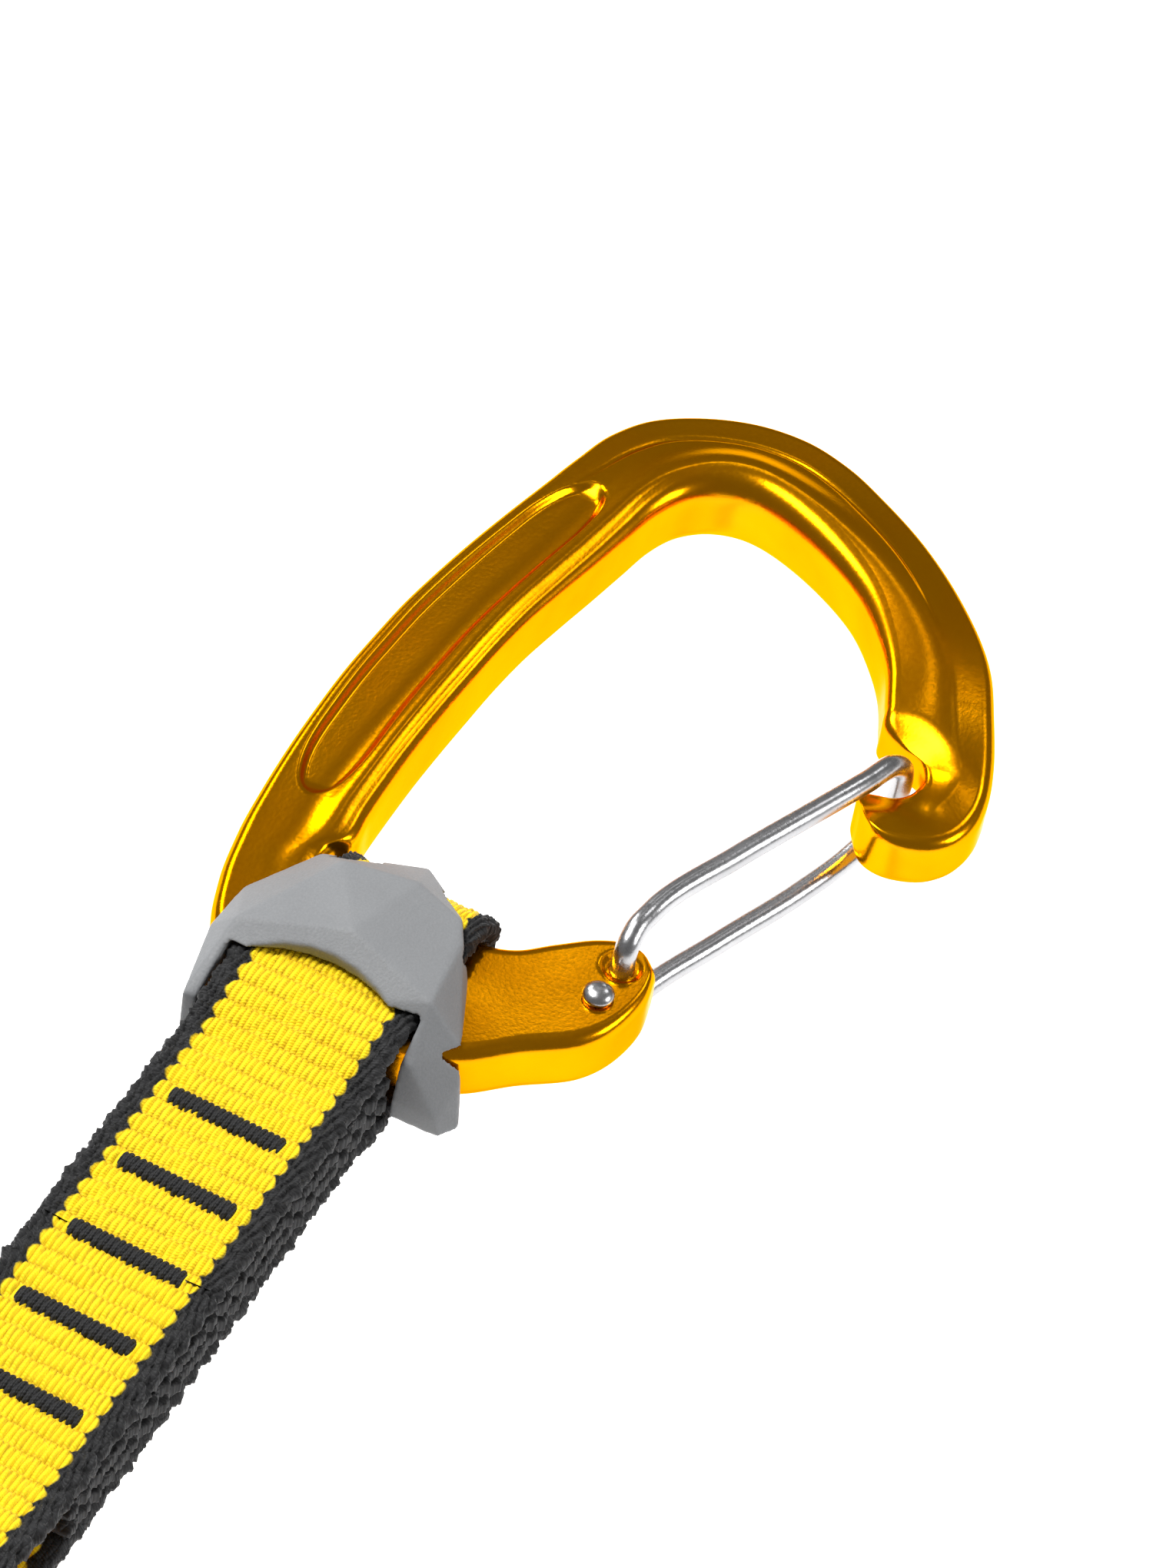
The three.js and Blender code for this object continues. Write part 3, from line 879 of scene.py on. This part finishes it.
# ---- sling ---------------------------------------------------------------------------------------
@dataclass
class Sling:
    """The sewn sling: an outer strap in two halves, two inner plies and five bar tacks.

    The strap rises from the stack to the eye over rise, and narrows to its waist's width, moved by its
    waist's shift, over waist_reach short of the bar. Each tack pulls the face in round itself. Inner_run is
    where the inner plies start and end, and inner_faces how far their two faces lie from the middle plane.
    """

    ply: float = 2.2
    width: float = 18.2
    stack_half: float = 4.6
    eye_half: float = 6.0
    stack_end: float = 24.5
    rise: tuple[float, float] = (24.0, 33.0)
    loop_x: float = 46.5
    waist: tuple[float, float] = (15.6, -1.4)
    waist_reach: tuple[float, float] = (10.5, 3.0)
    rib_height: float = 0.32
    edge_round: float = 1.0
    scallop: float = 0.35
    inner_run: tuple[float, float] = (-24.4, 31.4)
    inner_faces: tuple[float, float] = (0.06, 2.34)
    inner_end: float = 0.9
    tacks: int = 5
    tack_pitch: float = 8.6
    tack_length: float = 11.4
    tack_width: float = 2.3
    tack_end: float = 0.6
    tack_sink: float = 0.25
    tack_rise: float = 0.28
    stitch_rise: float = 0.20
    pull_depth: float = 0.15
    pull_spread: float = 1.5
    pull_half: float = 6.2
    pull_soft: float = 1.6
    flat_points: int = 200
    bend_points: int = 60
    path_rows: int = 420
    face_columns: int = 160
    back_columns: int = 40
    ply_rows: int = 220
    ply_columns: int = 72
    tack_rows: int = 260
    tack_columns: int = 56

    def centre(self) -> Array:
        """The middle of the strap's box, in millimetres."""
        low, high = (np.array(c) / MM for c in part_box("sling_strap"))
        return (low + high) / 2

    def tack_x(self) -> Array:
        """Where the tacks cross the sling."""
        return (np.arange(self.tacks) - (self.tacks - 1) / 2) * self.tack_pitch

    def strap_path(self) -> Array:
        """Half the ring's middle line in X and Z: flat, an S into the eye, half a circle, and back."""
        stack, eye = self.stack_half - self.ply / 2, self.eye_half - self.ply / 2
        x = np.linspace(0, self.loop_x, self.flat_points)
        z = stack + (eye - stack) * ramp(x, *self.rise)
        turn = np.linspace(np.pi / 2, -np.pi / 2, self.bend_points)[1:-1]
        bend = np.column_stack([self.loop_x + eye * np.cos(turn), eye * np.sin(turn)])
        rough = np.vstack([np.column_stack([x, z]), bend, np.column_stack([x, -z])[::-1]])
        run = chords(rough)
        even = np.linspace(0, run[-1], self.path_rows)
        return np.column_stack([np.interp(even, run, rough[:, 0]), np.interp(even, run, rough[:, 1])])

    def ribbed(self, along: Array, across: Array) -> tuple[Array, Array]:
        """How the weave stands: the share of a rib's height at a place, and that of a selvedge's bulge.

        A rib is the absolute cosine of the distance along over the pitch. The warp yarns cross it as an
        absolute sine, shifted by half a yarn on every other rib. Two slow sines sway the ribs and the
        yarns, and lumps are a product of two more. On the selvedges the ribs slant, three sines make them
        uneven, and knots are a product of two faster sines.
        """
        outside = np.maximum(np.abs(across) - CENTRE_HALF, 0.0)
        sway = 0.26 * np.sin(0.61 * across + 0.35 * along) + 0.22 * np.sin(1.7 * across - 0.9 * along)
        turn = (along + 0.5 * outside + sway) / RIB_PITCH
        rib = np.abs(np.cos(np.pi * turn)) ** 0.8
        lane = np.floor(turn + 0.5) % 2
        warp = np.abs(np.sin(np.pi * (across / WARP_PITCH + 0.5 * lane + 0.3 * sway))) ** 0.7
        uneven = 0.5 * np.sin(0.83 * along + 0.4 * across) + 0.3 * np.sin(2.17 * along - across)
        uneven = uneven + 0.2 * np.sin(5.1 * along)
        knots = np.sin(6.1 * along + 3.3 * across) * np.sin(3.7 * along - 5.2 * across)
        border = ramp(outside, 0.0, 0.5)
        lumps = 0.35 * np.sin(1.9 * along + 0.8 * across) * np.sin(3.1 * across + 0.7 * along)
        share = 0.55 * (rib - 1) * (1 - 0.3 * border) + 0.85 * (warp - 1) * (1 - 0.6 * border) + lumps
        return share + (0.4 * uneven + 0.75 * knots) * border, rib * (1 + 0.35 * uneven) + 0.6 * knots

    def strap_half(self, way: float) -> Shell:
        """Half the strap: its ribbed section carried along the path.

        The section is a flat loop whose half-thickness is that of a slab with round edges, raised by the
        weave. Each tack draws the face in, and the edge is scalloped by the ribs. The weave's distance
        along is counted from the nearer end of the path, so that the two halves meet alike on both faces.

        Args:
            way: 1 for the rope end, -1 for the bolt end.

        Returns:
            The closed half.
        """
        path = self.strap_path()
        tangent = unit(np.gradient(path, axis=0))
        normal = np.column_stack([-tangent[:, 1], tangent[:, 0]])
        x, along = path[:, 0][:, None], chords(path)
        along = np.minimum(along, along[-1] - along)
        squeeze = ramp(x, self.loop_x - self.waist_reach[0], self.loop_x - self.waist_reach[1])
        half_width = (self.width + (self.waist[0] - self.width) * squeeze) / 2
        shift = self.waist[1] * squeeze
        outer, inner = np.linspace(-1, 1, self.face_columns), np.linspace(1, -1, self.back_columns)[1:-1]
        v = np.concatenate([outer, inner])
        v = np.sign(v) * (1 - (1 - np.abs(v)) ** 1.1)
        flat = v[None, :] * self.width / 2
        share, bulge = self.ribbed(along[:, None], flat)
        past = np.clip((np.abs(flat) - (self.width / 2 - self.edge_round)) / self.edge_round, 0, 1)
        round_off = np.sqrt(np.clip(1 - past ** 2.2, 0.0, 1))
        near_tack = hill(x[..., None], self.tack_x(), self.pull_spread).sum(-1)
        pull = near_tack * band(flat, -self.pull_half, self.pull_half, self.pull_soft) * self.pull_depth
        half = (self.ply / 2 + self.rib_height * share - pull) * round_off
        on_edge = ramp(np.abs(flat), CENTRE_HALF, self.width / 2)
        scallop = np.sign(flat) * on_edge * self.scallop * (bulge - 0.8)
        out_y = shift + v[None, :] * half_width + scallop
        off = half * np.where(np.arange(v.size) < self.face_columns, 1.0, -1.0)
        px = x + normal[:, 0][:, None] * off
        pz = path[:, 1][:, None] + normal[:, 1][:, None] * off
        grid = np.stack([way * px, out_y, way * pz], axis=-1) + self.centre()
        across = np.append(flat[0], flat[0, 0])
        uv = np.stack(np.meshgrid(along, across, indexing="ij"), axis=-1)
        return tube_shell(grid, uv)

    def inner_ply(self, side: float) -> Shell:
        """One inner ply: a slab with rounded ends and scalloped edges, swept along X.

        It reaches into the tight eye at the rope end. At the bolt end it stops where the loose eye starts
        to bend.
        """
        start, end = self.inner_run
        low, high = self.inner_faces
        x = np.linspace(start, end, self.ply_rows)
        turn = np.linspace(0, 2 * np.pi, self.ply_columns + 1)[:-1]
        across = squared(np.cos(turn), 0.16) * self.width / 2
        z = squared(np.sin(turn), 0.5) * (high - low) / 2
        share, bulge = self.ribbed(x[:, None] + 1.1 * side, across[None, :] + 0 * x[:, None])
        near_end = (1 - np.minimum(x - start, end - x) / self.inner_end).clip(0, 1)
        taper = np.sqrt(np.clip(1 - near_end ** 2, 0.05, 1))[:, None]
        y = across + np.sign(across) * self.scallop * (bulge - 0.9)
        lift = side * (low + high) / 2 + z * taper * (1 + 0.1 * share)
        grid = np.stack([x[:, None] + 0 * y, y, lift], axis=-1)
        uv = np.stack(np.meshgrid(x, np.append(across, across[0]), indexing="ij"), axis=-1)
        return tube_shell(grid + self.centre(), uv)

    def tack(self, x: float) -> Shell:
        """One bar tack: a flat-backed bar that swells over each satin stitch along Y."""
        reach = self.tack_length / 2
        y = np.linspace(-reach, reach, self.tack_rows)[:, None]
        turn = np.linspace(0, 2 * np.pi, self.tack_columns + 1)[:-1]
        across = squared(np.cos(turn), 0.9)
        up = squared(np.sin(turn), 0.16)
        stitch = np.abs(np.sin(np.pi * (y / WARP_PITCH + 0.35 * across))) ** 0.7
        past = ((np.abs(y) - reach + self.tack_end) / self.tack_end).clip(0, 1)
        end = np.sqrt(np.clip(1 - past ** 2, 0.02, 1))
        half_z = self.stack_half - self.tack_sink + self.tack_rise * end + self.stitch_rise * stitch * end
        half_x = self.tack_width / 2 * (0.82 + 0.22 * stitch * end)
        grid = np.stack([x + half_x * across, y + 0 * across, half_z * up], axis=-1)
        uv = np.stack(np.meshgrid(y[:, 0], np.append(across, across[0]), indexing="ij"), axis=-1)[..., ::-1]
        return tube_shell(grid + self.centre(), uv)

    def build(self, finishes: Finishes) -> list[bpy.types.Object]:
        """Makes and dresses every piece of the sling, and fastens the inner plies and the tacks to it.

        Args:
            finishes: the materials.

        Returns:
            The pieces.
        """
        made = []
        centre = self.centre() * MM
        for link in Link:
            strap = make_mesh(f"{link.value}_strap_half", [self.strap_half(link.way)])
            dress(strap, finishes.webbing)
            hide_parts("sling_strap")
            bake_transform(strap)
            made.append(strap)
        for side, word in ((1.0, "upper"), (-1.0, "lower")):
            ply = make_mesh(f"{word}_inner_webbing", [self.inner_ply(side)])
            dress(ply, finishes.inner)
            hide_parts(f"sling_inner_ply_{word}")
            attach(ply, "sling")
            made.append(ply)
        for index, x in enumerate(self.tack_x(), start=1):
            tack = make_mesh(f"tack_stitching_{index}", [self.tack(x)])
            dress(tack, finishes.thread)
            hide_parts(f"bar_tack_{index}")
            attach(tack, "sling")
            made.append(tack)
        return made


# ---- keeper --------------------------------------------------------------------------------------
@dataclass
class Keeper:
    """The rubber keeper: the CAD solid with its facets' edges softened."""

    weld: float = 0.001
    voxel: float = 0.22
    share: float = 0.5
    passes: int = 4

    def build(self, finishes: Finishes) -> bpy.types.Object:
        """Copies the CAD solid, rebuilds its skin evenly, relaxes it, and dresses it."""
        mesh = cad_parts["keeper"].data.copy()
        work = bmesh.new()
        work.from_mesh(mesh)
        bmesh.ops.remove_doubles(work, verts=work.verts, dist=self.weld * MM)
        work.to_mesh(mesh)
        work.free()
        obj = bpy.data.objects.new("rubber_keeper", mesh)
        bpy.context.scene.collection.objects.link(obj)
        skin = obj.modifiers.new("skin", "REMESH")
        skin.mode, skin.voxel_size, skin.use_smooth_shade = "VOXEL", self.voxel * MM, True
        relax = obj.modifiers.new("relax", "SMOOTH")
        relax.factor, relax.iterations = self.share, self.passes
        apply_modifiers(obj)
        dress(obj, finishes.rubber)
        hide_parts("keeper")
        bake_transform(obj)
        return obj


# ---- stage ---------------------------------------------------------------------------------------
@dataclass(frozen=True)
class SoftBox:
    """A square area light: where it hangs and its side, in metres, and its power in watts."""

    name: str
    place: tuple[float, float, float]
    size: float
    power: float


SOFT_BOXES = (
    SoftBox("key", (0.05, 0.42, 0.78), 0.28, 9.5),
    SoftBox("fill", (0.25, -0.75, 0.45), 0.30, 3.0),
    SoftBox("rim", (0.45, 0.60, 0.50), 0.22, 1.5),
    SoftBox("near_card", (0.322, 0.094, 0.330), 0.030, 0.009),
    SoftBox("ridge_card", (0.47, -0.12, 0.44), 0.13, 0.20),
)


@dataclass
class Studio:
    """A pale floor, soft boxes and the camera. The floor's and the lights' own places are in metres.

    The floor lies below the lowest point that the bolt carabiner swings down to.
    """

    look_at: tuple[float, float, float] = (70.4, 4.1, 11.1)
    bearing: float = 200.0
    elevation: float = 47.0
    roll: float = 10.0
    distance: float = 535.7
    lens: float = 132.35
    sensor: float = 36.0
    clip: tuple[float, float] = (0.01, 50.0)
    floor_z: float = -0.078
    floor_half: float = 6.0
    floor_glow: float = 0.68
    world_glow: float = 0.18
    lit_point: tuple[float, float, float] = (0.0, 0.0, 0.01)

    def camera(self) -> None:
        """A camera on a sphere round the point it looks at, rolled about its own axis."""
        bearing, elevation, roll = map(math.radians, (self.bearing, self.elevation, self.roll))
        flat = math.cos(elevation)
        back = Vector((flat * math.cos(bearing), flat * math.sin(bearing), math.sin(elevation)))
        level = Vector((0, 0, 1)).cross(back).normalized()
        rise = back.cross(level)
        right = math.cos(roll) * level + math.sin(roll) * rise
        up = back.cross(right)
        data = bpy.data.cameras.new("camera")
        data.lens, data.sensor_width = self.lens, self.sensor
        data.clip_start, data.clip_end = self.clip
        camera = bpy.data.objects.new("camera", data)
        bpy.context.scene.collection.objects.link(camera)
        turn = Matrix((right, up, back)).transposed().to_4x4()
        place = Vector(self.look_at) * MM + back * self.distance * MM
        camera.matrix_world = Matrix.Translation(place) @ turn
        bpy.context.scene.camera = camera

    def hang(self, box: SoftBox) -> None:
        """Adds a soft box and turns it to the object."""
        data = bpy.data.lights.new(box.name, "AREA")
        data.size, data.energy = box.size, box.power
        light = bpy.data.objects.new(box.name, data)
        bpy.context.scene.collection.objects.link(light)
        light.location = box.place
        aim = Vector(self.lit_point) - Vector(box.place)
        light.rotation_euler = aim.to_track_quat("-Z", "Y").to_euler()

    def build(self) -> None:
        """Floor, world, lights and camera."""
        mesh = bpy.data.meshes.new("floor")
        r, z = self.floor_half, self.floor_z
        mesh.from_pydata([(-r, -r, z), (r, -r, z), (r, r, z), (-r, r, z)], [], [(0, 1, 2, 3)])
        floor = bpy.data.objects.new("floor", mesh)
        bpy.context.scene.collection.objects.link(floor)
        material, _, shader = blank_material("pale_floor")
        shader.inputs["Base Color"].default_value = (0.85, 0.85, 0.85, 1)
        shader.inputs["Roughness"].default_value = 0.9
        shader.inputs["Emission Color"].default_value = (1, 1, 1, 1)
        shader.inputs["Emission Strength"].default_value = self.floor_glow
        floor.data.materials.append(material)
        world = bpy.data.worlds.new("studio")
        world.use_nodes = True
        world.node_tree.nodes["Background"].inputs["Color"].default_value = (1, 1, 1, 1)
        world.node_tree.nodes["Background"].inputs["Strength"].default_value = self.world_glow
        bpy.context.scene.world = world
        for box in SOFT_BOXES:
            self.hang(box)
        bpy.context.scene.view_settings.view_transform = "Standard"
        self.camera()


def build_carabiner(link: Link, finishes: Finishes) -> list[bpy.types.Object]:
    """One carabiner: its body and its gate, dressed, with the body riding on its CAD body."""
    placement = link_placement(link)
    body = CarabinerBody(link).build(placement)
    dress(body, finishes.gold)
    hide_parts(f"{link.value}_carabiner_body")
    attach(body, f"{link.value}_carabiner")
    wire_gate = WireGate(link)
    gate = wire_gate.build(placement)
    dress(gate, finishes.wire)
    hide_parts(f"{link.value}_carabiner_gate")
    ends = (np.array([x * link.way, wire_gate.hinge_y, 0.0]) for x in wire_gate.blend_x)
    start, end = (placement.origin + spot for spot in ends)
    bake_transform(gate)
    return [body, gate]


def main() -> None:
    """Builds the studio and the quickdraw over the frame, and logs each piece's face count."""
    logging.basicConfig(level=logging.INFO, format="%(message)s")
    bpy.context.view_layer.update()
    Studio().build()
    finishes = Finishes()
    made = [*build_carabiner(Link.ROPE, finishes), *build_carabiner(Link.BOLT, finishes)]
    made += Sling().build(finishes)
    made.append(Keeper().build(finishes))
    for obj in made:
        LOG.info("%s: %d faces", obj.name, len(obj.data.polygons))


if __name__ == "__main__":
    main()
